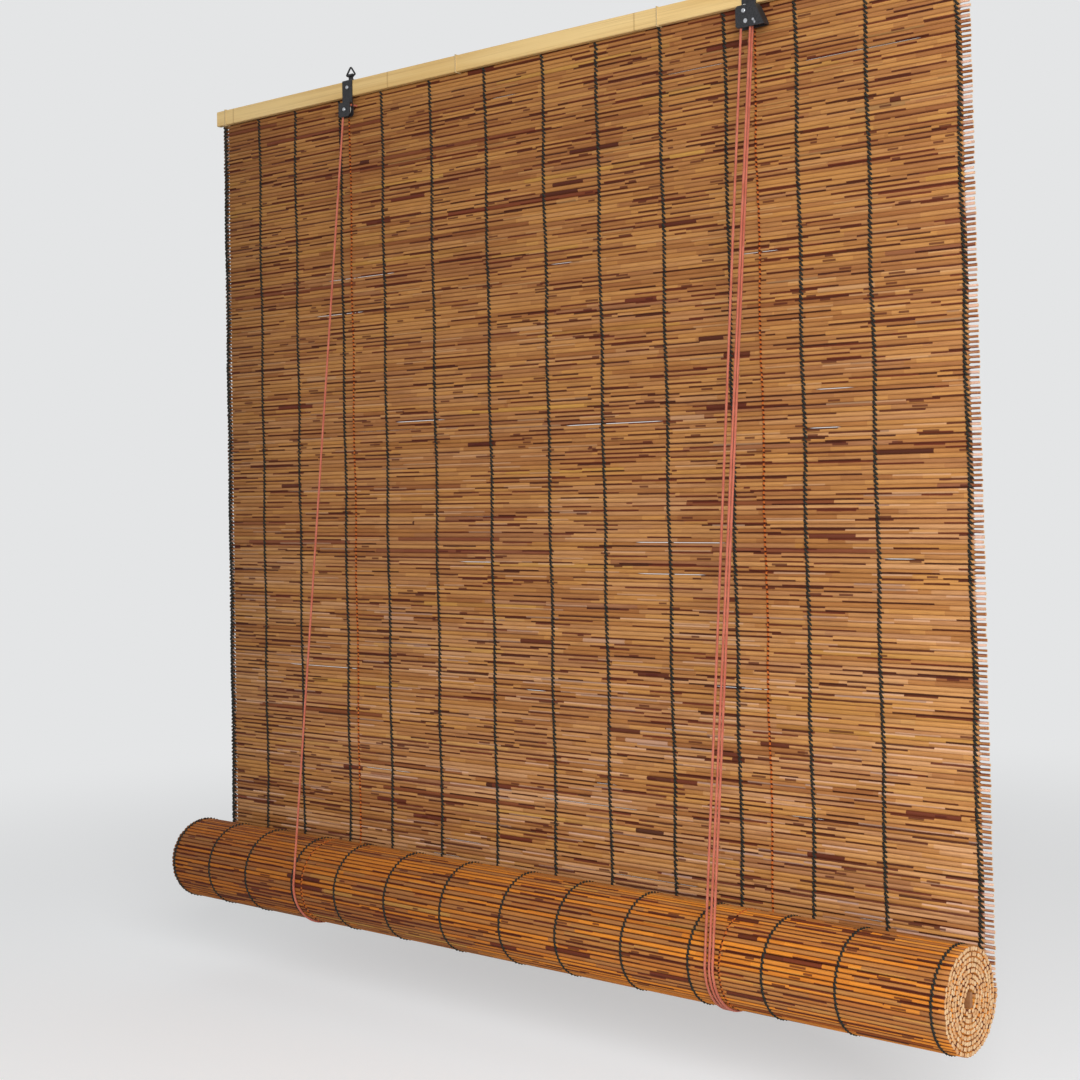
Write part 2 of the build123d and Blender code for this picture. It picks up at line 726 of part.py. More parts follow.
# Places of the moving pieces
print("ring pivot z", round(ring_pivot_z, 3))
print("roll axis y", round(roll_y, 3), "z", round(roll_z, 3))
print("left axle", hanger_left_x, round(left_wheel_y, 3), round(left_axle_z, 3))
print("right axle", hanger_right_x, round(front_wheel_y, 3), round(rear_wheel_y, 3), round(right_axle_z, 3))
print("roller", round(roller_x, 3), round(roller_z, 3), "lean", round(wall_lean, 3))
print("exits", round(left_exit_z, 3), round(right_exit_z, 3), "back run top", round(back_run_top, 3))
print("front touch", [round(v, 3) for v in front_touch])
print("cord on wheel", round(cord_on_wheel, 3), "on roll", round(cord_on_roll, 3))
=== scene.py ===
import random
from math import asin, atan2, cos, degrees, hypot, pi, radians, sin

import bpy
import numpy as np
from mathutils import Matrix, Vector


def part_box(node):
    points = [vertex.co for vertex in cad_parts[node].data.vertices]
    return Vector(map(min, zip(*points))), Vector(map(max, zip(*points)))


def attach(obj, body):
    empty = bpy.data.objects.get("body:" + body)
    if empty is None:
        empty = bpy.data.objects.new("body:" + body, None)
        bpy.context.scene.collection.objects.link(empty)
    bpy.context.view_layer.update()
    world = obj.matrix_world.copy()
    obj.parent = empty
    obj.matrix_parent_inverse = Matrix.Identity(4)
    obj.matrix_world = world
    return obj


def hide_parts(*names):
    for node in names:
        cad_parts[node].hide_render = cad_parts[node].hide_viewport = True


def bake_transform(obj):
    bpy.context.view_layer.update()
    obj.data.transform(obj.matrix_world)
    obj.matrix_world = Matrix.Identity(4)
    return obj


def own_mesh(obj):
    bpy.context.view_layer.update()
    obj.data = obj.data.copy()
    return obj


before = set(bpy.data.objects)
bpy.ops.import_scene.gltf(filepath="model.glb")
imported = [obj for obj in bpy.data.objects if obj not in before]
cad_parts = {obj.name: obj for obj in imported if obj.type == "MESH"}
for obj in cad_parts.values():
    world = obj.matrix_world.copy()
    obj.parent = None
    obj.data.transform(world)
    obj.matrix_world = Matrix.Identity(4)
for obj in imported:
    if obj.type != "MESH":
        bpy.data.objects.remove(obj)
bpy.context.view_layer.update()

# Bamboo roller shade. Metres. X along the width, -Y towards the room, +Z up.

# Sizes of the mat and its roll
REED_PITCH = 0.0052
REED_HALF_DEPTH = 0.0021
REED_HALF_HEIGHT = 0.00285
TURN_PITCH = 0.0052
MAT_THICKNESS = 0.0042
WOUND_REEDS = 318
HUNG_SPANS = 7
WOUND_SPANS = 4
SLIT_TAPER = 0.015
REED_TIP = 0.013
TIP_SHOULDER = 0.003
SLIT_HALF = 0.0004
THREAD_RADIUS = 0.0016
MARKER_RADIUS = 0.0013
CORD_RADIUS = 0.0014

mat_low, mat_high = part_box("reed_mat")
roll_low, roll_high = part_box("reed_roll")
THREADS_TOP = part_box("warp_threads_front")[1].z
MAT_WIDTH = mat_high.x - mat_low.x
MAT_FRONT = mat_low.y
MAT_BACK = mat_high.y
MAT_MIDDLE = (MAT_FRONT + MAT_BACK) / 2
MAT_FOOT = mat_low.z
MAT_TOP = mat_high.z
ROLL_RADIUS = (roll_high.z - roll_low.z) / 2 + TURN_PITCH / 4
ROLL_Z = roll_low.z + ROLL_RADIUS
ROLL_Y = roll_high.y - ROLL_RADIUS
HUNG_REEDS = round((MAT_TOP - MAT_FOOT) / REED_PITCH)

WARP_PLACES = [0.004, 0.068, 0.132, 0.210, 0.278, 0.354, 0.435, 0.516, 0.588, 0.668, 0.745, 0.824, 0.898, 0.988]
MARKER_PLACES = [0.2255, 0.779]


# Helpers for shaders
def paint(red, green, blue):
    """A colour as it is named in paint charts, 0 to 255, as the shader's own numbers."""
    def straight(part):
        part = part / 255
        return part / 12.92 if part <= 0.04045 else ((part + 0.055) / 1.055) ** 2.4
    return (straight(red), straight(green), straight(blue), 1.0)


class Nodes:
    """Adds and joins nodes in one node tree."""

    def __init__(self, tree):
        self.tree = tree
        self.count = 0

    def add(self, kind, inputs=None, **settings):
        node = self.tree.nodes.new(kind)
        node.location = (180 * (self.count % 12), -220 * (self.count // 12))
        self.count += 1
        for name, value in settings.items():
            setattr(node, name, value)
        for key, value in (inputs or {}).items():
            self.set(node.inputs[key], value)
        return node

    def set(self, socket, value):
        if isinstance(value, bpy.types.NodeSocket):
            self.tree.links.new(value, socket)
        else:
            socket.default_value = value

    def math(self, operation, a, b=0.0, c=0.0, clamp=False):
        node = self.add("ShaderNodeMath", {0: a, 1: b, 2: c}, operation=operation, use_clamp=clamp)
        return node.outputs[0]

    def steps(self, value, low, high, smooth=True):
        kind = "SMOOTHSTEP" if smooth else "LINEAR"
        node = self.add("ShaderNodeMapRange", {"Value": value, "From Min": low, "From Max": high},
                        interpolation_type=kind)
        return node.outputs["Result"]

    def mix(self, share, a, b, blend="MIX"):
        node = self.add("ShaderNodeMix", data_type="RGBA", blend_type=blend)
        self.set(node.inputs["Factor"], share)
        self.set(node.inputs[6], a)
        self.set(node.inputs[7], b)
        return node.outputs[2]

    def ramp(self, value, stops, interpolation="LINEAR"):
        node = self.add("ShaderNodeValToRGB", {"Fac": value})
        ramp = node.color_ramp
        ramp.interpolation = interpolation
        while len(ramp.elements) < len(stops):
            ramp.elements.new(0.5)
        for element, (place, shade) in zip(ramp.elements, stops):
            element.position = place
            element.color = shade
        return node.outputs["Color"]

    def xyz(self, x=0.0, y=0.0, z=0.0):
        return self.add("ShaderNodeCombineXYZ", {0: x, 1: y, 2: z}).outputs[0]

    def noise(self, vector, scale=1.0, detail=2.0, rough=0.5):
        node = self.add("ShaderNodeTexNoise",
                        {"Vector": vector, "Scale": scale, "Detail": detail, "Roughness": rough})
        return node.outputs["Fac"]

    def place(self):
        """The point's own place on the object, in metres."""
        return self.add("ShaderNodeTexCoord").outputs["Object"]

    def bump(self, height, distance, strength=1.0):
        node = self.add("ShaderNodeBump", {"Height": height})
        node.inputs["Distance"].default_value = distance
        node.inputs["Strength"].default_value = strength
        return node.outputs["Normal"]


def new_group(name, inputs, outputs):
    """An empty node group with its sockets, and the nodes that stand for them."""
    tree = bpy.data.node_groups.new(name, "ShaderNodeTree")
    for socket, kind, value in inputs:
        made = tree.interface.new_socket(socket, in_out="INPUT", socket_type="NodeSocket" + kind)
        if value is not None:
            made.default_value = value
    for socket, kind in outputs:
        tree.interface.new_socket(socket, in_out="OUTPUT", socket_type="NodeSocket" + kind)
    nodes = Nodes(tree)
    entry = nodes.add("NodeGroupInput").outputs
    leave = nodes.add("NodeGroupOutput").inputs
    return tree, nodes, entry, leave


def material(name, **fixed):
    """A new material with its Principled shader, whose plain numbers are set on its own sockets."""
    made = bpy.data.materials.new(name)
    made.use_nodes = True
    nodes = Nodes(made.node_tree)
    shader = made.node_tree.nodes["Principled BSDF"]
    for socket, value in fixed.items():
        shader.inputs[socket.replace("_", " ")].default_value = value
    return made, nodes, shader


# The reeds' finish
DARK_SKIN_AND_SHADE = paint(80, 30, 20)
RED_SKIN = paint(112, 52, 24)
BROWN_SKIN = paint(140, 84, 46)
TAN_SKIN = paint(178, 120, 66)
STRAW = paint(206, 154, 76)
DUSTY = paint(212, 160, 112)
PALE_TIP = paint(232, 194, 176)
NEAR_BLACK = paint(54, 17, 14)
MAROON = paint(100, 40, 26)


def reed_shades():
    """Colour of one reed along its length: pieces of skin of random length, dark strips, knots, fine grain, and
    painted shade in the grooves beside it.
    """
    tree, n, given, out = new_group(
        "reed_shades",
        [("Along", "Float", 0.0), ("Number", "Float", 0.0), ("Side", "Vector", None),
         ("Dark Strips", "Float", 0.15), ("Whole", "Float", 0.8), ("Groove", "Float", 0.3),
         ("Dust", "Float", 0.2), ("Light", "Color", TAN_SKIN), ("Middle", "Color", BROWN_SKIN),
         ("Red", "Color", RED_SKIN)],
        [("Colour", "Color"), ("Roughness", "Float"), ("Height", "Float")],
    )
    along, number = given["Along"], given["Number"]
    side = n.add("ShaderNodeSeparateXYZ", {0: given["Side"]}).outputs
    around = n.math("ARCTAN2", side[2], side[1])

    def pieces(per_metre, step):
        where = n.math("ADD", n.math("MULTIPLY", along, per_metre), n.math("MULTIPLY", number, step))
        cell = n.add("ShaderNodeTexVoronoi", {"W": where, "Scale": 1.0}, voronoi_dimensions="1D")
        return n.add("ShaderNodeSeparateColor", {0: cell.outputs["Color"]}).outputs

    long_pieces = pieces(4.5, 37.73)
    short_pieces = pieces(18.0, 91.37)
    strips = pieces(9.0, 53.19)
    skin = n.ramp(long_pieces[0], [(0.0, BROWN_SKIN), (0.2, TAN_SKIN), (0.88, TAN_SKIN), (1.0, STRAW)])
    skin = n.mix(n.steps(long_pieces[0], 0.09, 0.0), skin, given["Red"])
    skin = n.mix(n.steps(long_pieces[1], 0.2, 0.8), skin, given["Light"])
    skin = n.mix(n.math("MULTIPLY", n.steps(short_pieces[1], 0.7, 0.78), 0.36), skin, given["Middle"])

    zone = n.noise(n.xyz(n.math("MULTIPLY", along, 5.0), n.math("MULTIPLY", number, 0.045)), detail=3.0)
    skin = n.mix(n.math("MULTIPLY", n.steps(zone, 0.5, 0.72), 0.3), skin, given["Middle"])
    dusty = n.math("MULTIPLY", n.steps(n.noise(n.xyz(n.math("MULTIPLY", along, 3.0),
                                                      n.math("MULTIPLY", number, 0.35), 7.0)), 0.48, 0.7),
                   given["Dust"])
    dusty = n.math("MULTIPLY", n.math("ADD", dusty, n.math("MULTIPLY", given["Dust"], 0.5), clamp=True),
                   n.steps(long_pieces[2], 0.1, 0.9))
    skin = n.mix(dusty, skin, DUSTY)

    grain = n.noise(n.xyz(n.math("MULTIPLY", along, 40.0), n.math("MULTIPLY", around, 3.0),
                          n.math("MULTIPLY", number, 3.1)), detail=3.0, rough=0.6)
    skin = n.mix(n.steps(grain, 0.35, 0.75), skin, n.mix(0.3, skin, DARK_SKIN_AND_SHADE))

    # Dark strips lie on the upper or the lower part of a reed, and some go all round it
    lean = n.math("ADD", side[2], n.math("MULTIPLY", n.math("SUBTRACT", grain, 0.5), 0.5))
    part = n.math("GREATER_THAN", short_pieces[2], 0.5)
    lean = n.math("MULTIPLY", lean, n.math("SUBTRACT", 1.0, n.math("MULTIPLY", given["Groove"], 0.6)))
    low_part = n.steps(lean, -0.12, -0.26)
    high_part = n.steps(lean, 0.12, 0.26)
    reach = n.math("ADD", n.math("MULTIPLY", part, high_part),
                   n.math("MULTIPLY", n.math("SUBTRACT", 1.0, part), low_part))
    reach = n.math("MAXIMUM", reach, n.math("GREATER_THAN", short_pieces[1], given["Whole"]))
    short_dark = n.math("LESS_THAN", short_pieces[0], given["Dark Strips"])
    long_dark = n.math("LESS_THAN", strips[0], n.math("MULTIPLY", given["Dark Strips"], 0.55))
    dark = n.math("MAXIMUM", n.math("MULTIPLY", short_dark, reach), n.math("MULTIPLY", long_dark, reach))
    dark_shade = n.ramp(strips[2], [(0.0, NEAR_BLACK), (0.5, DARK_SKIN_AND_SHADE), (1.0, MAROON)])
    skin = n.mix(n.math("MULTIPLY", dark, 0.92), skin, dark_shade)

    # Pale strips where the skin is scraped, and short dark flecks
    rare = n.math("SUBTRACT", 0.94, n.math("MULTIPLY", given["Dust"], 0.14))
    pale = n.math("MULTIPLY", n.math("GREATER_THAN", short_pieces[0], rare), reach)
    skin = n.mix(n.math("MULTIPLY", pale, 0.5), skin, n.mix(given["Dust"], STRAW, PALE_TIP))
    flecks = pieces(70.0, 29.17)
    ring = n.math("MULTIPLY", n.math("LESS_THAN", flecks[0], 0.022), n.steps(n.math("ABSOLUTE", side[2]), 0.5, 0.3))
    skin = n.mix(n.math("MULTIPLY", ring, 0.8), skin, DARK_SKIN_AND_SHADE)

    # Painted shade, with some dirt, in the groove between one reed and the next
    groove = n.math("MULTIPLY", n.steps(n.math("ABSOLUTE", side[2]), 0.55, 1.0), given["Groove"])
    skin = n.mix(groove, skin, DARK_SKIN_AND_SHADE)

    n.set(out["Colour"], skin)
    n.set(out["Roughness"], n.math("ADD", 0.5, n.math("MULTIPLY", grain, 0.2)))
    n.set(out["Height"], n.math("ADD", grain, n.math("MULTIPLY", ring, 0.8)))
    return tree


REED_GROUP = reed_shades()


def reed_finish(name, dark_strips, whole, groove, low_dust, high_dust, tips, left_shade, light, middle, red):
    """Stained reeds: dustier low on the mat, with painted shade making them darker to the left and towards the top,
    bare at their tips.
    """
    made, n, shader = material(name, Specular_IOR_Level=0.16)
    x = n.add("ShaderNodeSeparateXYZ", {0: n.place()}).outputs[0]
    number = n.add("ShaderNodeAttribute", attribute_name="reed_number").outputs["Fac"]
    side = n.add("ShaderNodeAttribute", attribute_name="reed_side").outputs["Vector"]
    rise = n.steps(number, 0.0, 180.0, smooth=False)
    dust = n.math("ADD", low_dust, n.math("MULTIPLY", rise, high_dust - low_dust))
    group = n.add("ShaderNodeGroup", node_tree=REED_GROUP)
    for socket, value in (("Along", x), ("Number", number), ("Side", side),
                          ("Dark Strips", dark_strips), ("Whole", whole), ("Groove", groove),
                          ("Dust", dust), ("Light", light), ("Middle", middle), ("Red", red)):
        n.set(group.inputs[socket], value)
    at_tip = n.steps(n.math("ABSOLUTE", x), MAT_WIDTH / 2 - REED_TIP, MAT_WIDTH / 2 - 0.6 * REED_TIP)
    bare = n.math("MULTIPLY", at_tip, tips)
    odd = n.add("ShaderNodeTexWhiteNoise", {"W": number}, noise_dimensions="1D").outputs["Value"]
    tip_shade = n.mix(n.steps(odd, 0.5, 0.75), RED_SKIN, PALE_TIP)
    # Painted shade: the reeds are darker to the left, away from the light, and darker towards the top of the hanging
    # mat
    painted_shade = n.math("ADD", n.math("MULTIPLY", n.steps(x, 0.45, -0.6), left_shade), n.math("MULTIPLY", rise, 0.12))
    skin = n.mix(painted_shade, group.outputs["Colour"], DARK_SKIN_AND_SHADE)
    n.set(shader.inputs["Base Color"], n.mix(bare, skin, tip_shade))
    n.set(shader.inputs["Roughness"], group.outputs["Roughness"])
    n.set(shader.inputs["Normal"], n.bump(group.outputs["Height"], 0.00025))
    return made


def reed_end_finish():
    """Sawn reed ends: pale pith inside a darker skin, with painted shade between the turns of the roll and a
    speckled cut.
    """
    made, n, shader = material("sawn_reed_end", Specular_IOR_Level=0.25, Roughness=0.75)
    number = n.add("ShaderNodeAttribute", attribute_name="reed_number").outputs["Fac"]
    side = n.add("ShaderNodeAttribute", attribute_name="reed_side").outputs["Vector"]
    away = n.add("ShaderNodeVectorMath", {0: side}, operation="LENGTH").outputs["Value"]
    odd = n.add("ShaderNodeTexWhiteNoise", {"W": number}, noise_dimensions="1D").outputs["Value"]
    pith = n.ramp(odd, [(0.0, paint(222, 166, 112)), (0.5, paint(238, 196, 146)), (1.0, paint(246, 216, 172))])
    speckle = n.noise(n.place(), scale=2600.0, detail=2.0)
    cut = n.mix(n.steps(speckle, 0.45, 0.7), pith, paint(176, 118, 66))
    # The darker rim is the skin, drawn heavier across the inner and outer faces as painted shade where one turn of
    # the roll meets the next
    across = n.math("ABSOLUTE", n.add("ShaderNodeSeparateXYZ", {0: side}).outputs[1])
    edge = n.math("MAXIMUM", n.steps(across, 0.6, 0.95), n.math("MULTIPLY", n.steps(away, 0.85, 1.05), 0.5))
    n.set(shader.inputs["Base Color"], n.mix(edge, cut, paint(170, 102, 62)))
    n.set(shader.inputs["Normal"], n.bump(speckle, 0.0002))
    return made


HUNG_REED = reed_finish(
    "stained_reed", dark_strips=0.31, whole=0.985, groove=0.48, low_dust=0.9, high_dust=0.12, tips=0.6,
    left_shade=0.1, light=paint(200, 142, 78), middle=paint(136, 78, 44), red=paint(120, 56, 34))
ROLLED_REED = reed_finish(
    "rolled_reed", dark_strips=0.34, whole=0.96, groove=0.85, low_dust=0.0, high_dust=0.0, tips=0.0,
    left_shade=0.45, light=paint(226, 140, 48), middle=paint(188, 104, 36), red=paint(140, 70, 26))
REED_END = reed_end_finish()


# Other finishes
def bamboo_finish(name, pale, tan):
    """Planed bamboo: long fine fibres, a slow change of tone, faint knots across."""
    made, n, shader = material(name, Specular_IOR_Level=0.4)
    x, y, z = n.add("ShaderNodeSeparateXYZ", {0: n.place()}).outputs
    fibre = n.noise(n.xyz(n.math("MULTIPLY", x, 6.0), n.math("MULTIPLY", y, 900.0), n.math("MULTIPLY", z, 900.0)),
                    detail=4.0, rough=0.6)
    slow = n.noise(n.xyz(n.math("MULTIPLY", x, 2.3), n.math("MULTIPLY", y, 30.0), n.math("MULTIPLY", z, 40.0)))
    shade = n.mix(n.steps(slow, 0.3, 0.7), pale, tan)
    shade = n.mix(n.math("MULTIPLY", n.steps(fibre, 0.45, 0.75), 0.35), shade, paint(164, 122, 70))
    knot_line = n.add("ShaderNodeTexVoronoi", {"W": n.math("MULTIPLY", x, 3.4), "Scale": 1.0},
                      voronoi_dimensions="1D")
    line = n.steps(knot_line.outputs["Distance"], 0.006, 0.002)
    shade = n.mix(n.math("MULTIPLY", line, 0.4), shade, paint(150, 108, 60))
    n.set(shader.inputs["Base Color"], shade)
    n.set(shader.inputs["Roughness"], n.math("ADD", 0.45, n.math("MULTIPLY", fibre, 0.18)))
    n.set(shader.inputs["Normal"], n.bump(fibre, 0.0003))
    return made


def thread_finish(name, dark, light, roughness=0.8, scale=1800.0, dash=None):
    """Spun thread: fine slanted plies with fuzz, or light and dark stitches where a dash's length is given."""
    made, n, shader = material(name, Specular_IOR_Level=0.2, Roughness=roughness)
    ply = n.add("ShaderNodeTexWave", {"Vector": n.place(), "Scale": scale / 6, "Distortion": 1.5, "Detail": 2.0},
                bands_direction="DIAGONAL").outputs["Fac"]
    fuzz = n.noise(n.place(), scale=scale, detail=2.0)
    if dash:
        height = n.add("ShaderNodeSeparateXYZ", {0: n.place()}).outputs[2]
        stitch = n.math("SINE", n.math("MULTIPLY", height, 2 * pi / dash))
        shade = n.mix(n.steps(stitch, -0.5, 0.1), dark, light)
    else:
        shade = n.mix(n.steps(ply, 0.2, 0.8), dark, light)
    n.set(shader.inputs["Base Color"], n.mix(n.math("MULTIPLY", fuzz, 0.35), shade, dark))
    n.set(shader.inputs["Normal"], n.bump(ply, 0.0002))
    return made


def cord_finish():
    """Braided cord: crossed plies seen as small slanted cells, with a soft sheen."""
    made, n, shader = material("braided_pink_cord", Specular_IOR_Level=0.3, Roughness=0.62, Sheen_Weight=0.15)
    x, y, z = n.add("ShaderNodeSeparateXYZ", {0: n.place()}).outputs
    across = n.math("MULTIPLY", n.math("ADD", x, y), 900.0)
    along = n.math("MULTIPLY", z, 2400.0)
    one = n.math("SINE", n.math("ADD", along, across))
    other = n.math("SINE", n.math("SUBTRACT", along, across))
    cells = n.steps(n.math("MULTIPLY", one, other), -0.8, 0.8)
    drift = n.noise(n.place(), scale=60.0, detail=3.0)
    shade = n.mix(n.steps(drift, 0.35, 0.7), paint(200, 112, 88), paint(184, 94, 70))
    shade = n.mix(n.math("MULTIPLY", n.math("SUBTRACT", 1.0, cells), 0.45), shade, paint(142, 68, 50))
    n.set(shader.inputs["Base Color"], shade)
    n.set(shader.inputs["Normal"], n.bump(cells, 0.0002))
    return made


def edge_wear():
    """Where a finish is rubbed: more on raised edges, broken up by a fine noise."""
    tree, n, given, out = new_group("edge_wear", [("Amount", "Float", 0.5), ("Scale", "Float", 400.0)],
                                    [("Mask", "Float"), ("Speckle", "Float")])
    geometry = n.add("ShaderNodeNewGeometry")
    speckle = n.noise(n.place(), scale=given["Scale"], detail=4.0, rough=0.65)
    raised = n.steps(geometry.outputs["Pointiness"], 0.52, 0.6)
    rubbed = n.math("MULTIPLY", raised, n.steps(speckle, 0.35, 0.65))
    n.set(out["Mask"], n.math("MULTIPLY", rubbed, given["Amount"]))
    n.set(out["Speckle"], speckle)
    return tree


EDGE_WEAR = edge_wear()


def metal_finish(name, coat, worn, metallic, roughness, wear, scale=500.0, bump=0.0001):
    made, n, shader = material(name, Metallic=metallic, Specular_IOR_Level=0.5)
    group = n.add("ShaderNodeGroup", node_tree=EDGE_WEAR)
    group.inputs["Amount"].default_value = wear
    group.inputs["Scale"].default_value = scale
    mask, speckle = group.outputs
    n.set(shader.inputs["Base Color"], n.mix(mask, n.mix(n.math("MULTIPLY", speckle, 0.3), coat, worn), worn))
    n.set(shader.inputs["Roughness"], n.math("ADD", roughness, n.math("MULTIPLY", speckle, 0.2)))
    n.set(shader.inputs["Normal"], n.bump(speckle, bump))
    return made


RAIL_BAMBOO = bamboo_finish("planed_bamboo", paint(234, 202, 140), paint(218, 180, 114))
SLAT_BAMBOO = bamboo_finish("slat_bamboo", paint(166, 116, 76), paint(146, 98, 62))
WARP_THREAD = thread_finish("dark_warp_thread", paint(18, 17, 15), paint(64, 62, 54))
MARKER_THREAD = thread_finish("red_marker_thread", paint(66, 22, 10), paint(204, 108, 44), dash=REED_PITCH)
TIE_THREAD = thread_finish("pale_tie_thread", paint(176, 150, 106), paint(228, 208, 164))
CORD = cord_finish()
BLACK_STEEL = metal_finish("black_painted_steel", paint(13, 13, 15), paint(60, 60, 64), 0.2, 0.42, 0.6)
BRIGHT_STEEL = metal_finish("bright_rivet_steel", paint(176, 178, 182), paint(222, 224, 228), 0.95, 0.22, 0.5)
WHEEL_NYLON = metal_finish("white_nylon", paint(214, 212, 204), paint(236, 234, 228), 0.0, 0.38, 0.4)


# Helpers for modelling
def deselect():
    bpy.ops.object.select_all(action="DESELECT")


def pick(obj):
    deselect()
    obj.select_set(True)
    bpy.context.view_layer.objects.active = obj
    return obj


def bake_place(obj):
    """Puts the object's turn, size and place into its mesh."""
    pick(obj)
    bpy.ops.object.transform_apply(location=True, rotation=True, scale=True)
    return obj


def points_of(obj):
    flat = np.empty(len(obj.data.vertices) * 3)
    obj.data.vertices.foreach_get("co", flat)
    return flat.reshape(-1, 3)


def put_points(obj, points):
    obj.data.vertices.foreach_set("co", np.ascontiguousarray(points, float).ravel())
    obj.data.update()


def paint_with(obj, *finishes):
    obj.data.materials.clear()
    for finish in finishes:
        obj.data.materials.append(finish)
    return obj


def joined(objects, name):
    deselect()
    for obj in objects:
        obj.select_set(True)
    bpy.context.view_layer.objects.active = objects[0]
    bpy.ops.object.join()
    made = bpy.context.view_layer.objects.active
    made.name = name
    return made


def twin(obj):
    """A copy with its own mesh."""
    made = obj.copy()
    made.data = obj.data.copy()
    bpy.context.scene.collection.objects.link(made)
    return made


def dressed(obj, body, slot, *nodes):
    """Sends a finished piece to its body, in place of these nodes. The slot is not used."""
    if body:
        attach(obj, body)
    if nodes:
        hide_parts(*nodes)
    return obj


# The reeds, hanging and wound
def reed_blank(spans):
    """One reed as a six-sided rod of unit section along X, with loops along it."""
    deselect()
    bpy.ops.mesh.primitive_cylinder_add(vertices=6, radius=1, depth=MAT_WIDTH, rotation=(0, radians(90), 0))
    reed = bake_place(bpy.context.object)
    bpy.ops.object.mode_set(mode="EDIT")
    loops = [-MAT_WIDTH / 2 + MAT_WIDTH * step / spans for step in range(1, spans)]
    for start in (REED_TIP, REED_TIP - TIP_SHOULDER):
        loops += [-MAT_WIDTH / 2 + start, MAT_WIDTH / 2 - start]
    for x in loops:
        bpy.ops.mesh.select_all(action="SELECT")
        bpy.ops.mesh.bisect(plane_co=(x, 0, 0), plane_no=(1, 0, 0))
    bpy.ops.mesh.select_all(action="DESELECT")
    bpy.ops.object.mode_set(mode="OBJECT")
    paint_with(reed, HUNG_REED, REED_END)
    for face in reed.data.polygons:
        end = abs(face.normal.x) > 0.7
        face.material_index = 1 if end else 0
        face.use_smooth = not end
    side = reed.data.attributes.new("reed_side", "FLOAT_VECTOR", "POINT")
    unit = points_of(reed)
    unit[:, 2] /= np.abs(unit[:, 2]).max()
    put_points(reed, unit)
    unit[:, 0] = 0
    side.data.foreach_set("vector", unit.ravel())
    return reed


def grown_reed(blank, number, seed, height=REED_HALF_HEIGHT, depth=REED_HALF_DEPTH, tips=(0.42, 0.62), slits=()):
    """A copy of the blank as one real reed: its own thickness along the length, thinner tips, a slight bow,
    and a flat where a slit lies above (+1) or below (-1) it between two places along X."""
    rng = random.Random(seed)
    reed = twin(blank)
    if slits:
        pick(reed)
        bpy.ops.object.mode_set(mode="EDIT")
        for above, start, end in slits:
            for x in (start, start + SLIT_TAPER, end - SLIT_TAPER, end):
                bpy.ops.mesh.select_all(action="SELECT")
                bpy.ops.mesh.bisect(plane_co=(x, 0, 0), plane_no=(1, 0, 0))
        bpy.ops.object.mode_set(mode="OBJECT")
    points = points_of(reed)
    stations = np.unique(np.round(points[:, 0], 5))
    thick, thin = rng.uniform(0.94, 1.03), rng.uniform(*tips)
    for x in stations:
        here = np.abs(points[:, 0] - x) < 1e-4
        tip = 1.0 if abs(x) < MAT_WIDTH / 2 - REED_TIP + TIP_SHOULDER / 2 else thin
        girth = thick * rng.uniform(0.95, 1.04) * tip
        points[here, 1] = points[here, 1] * depth * min(girth, 1.0) + rng.uniform(-0.00008, 0.00008)
        points[here, 2] = points[here, 2] * height * girth + rng.uniform(-0.0002, 0.0002)
        for above, start, end in slits:
            if start + SLIT_TAPER / 2 < x < end - SLIT_TAPER / 2:
                flat = REED_PITCH / 2 - SLIT_HALF
                if above > 0:
                    points[here, 2] = np.minimum(points[here, 2], flat)
                else:
                    points[here, 2] = np.maximum(points[here, 2], -flat)
    points[points[:, 0] < -MAT_WIDTH / 2 + 1e-4, 0] += rng.uniform(-0.0006, 0.0008)
    points[points[:, 0] > MAT_WIDTH / 2 - 1e-4, 0] -= rng.uniform(-0.0006, 0.0008)
    put_points(reed, points)
    mark = reed.data.attributes.new("reed_number", "FLOAT", "POINT")
    mark.data.foreach_set("value", np.full(len(points), float(number)))
    return reed


def wound_place(turned):
    """Centre and outward angle of the wound sheet, after so many half turns, as two half circles a turn."""
    half = int(turned)
    angle = radians(-180 * turned)
    radius = ROLL_RADIUS - half * TURN_PITCH / 2 - MAT_THICKNESS / 2
    centre_y = ROLL_Y - (TURN_PITCH / 2 if half % 2 else 0)
    return centre_y, radius, angle


def wound_steps(count):
    """The half turns made at each reed's middle."""
    turned, steps = 0.0, []
    for number in range(count):
        radius = wound_place(turned)[1]
        step = REED_PITCH / (pi * radius)
        steps.append(turned + step / 2)
        turned += step
    return steps


HUNG_BLANK = reed_blank(HUNG_SPANS)
WOUND_BLANK = reed_blank(WOUND_SPANS)


def spread(number, step):
    """An even spread of shares from 0 to 1, one for each number."""
    return number * step % 1


def mat_slits():
    """The slits between hanging reeds, for each reed on either side of one."""
    slits = {}
    for number in range(1, 27):
        length = 0.050 + 0.160 * spread(number, 0.7549) ** 2
        reach = MAT_WIDTH - 0.060 - length
        start = -MAT_WIDTH / 2 + 0.030 + reach * spread(number, 0.6180) ** 0.7
        groove = 2 + int(194 * spread(number, 0.5698) ** 1.5)
        slits.setdefault(groove - 1, []).append((1, start, start + length))
        slits.setdefault(groove, []).append((-1, start, start + length))
    return slits


SLITS = mat_slits()
hung = []
for number in range(HUNG_REEDS):
    reed = grown_reed(HUNG_BLANK, number, 1000 + number, slits=SLITS.get(number, ()))
    reed.data.transform(Matrix.Translation((0, MAT_MIDDLE, MAT_FOOT + (number + 0.5) * REED_PITCH)))
    hung.append(reed)
mat = joined(hung, "hanging_reeds")

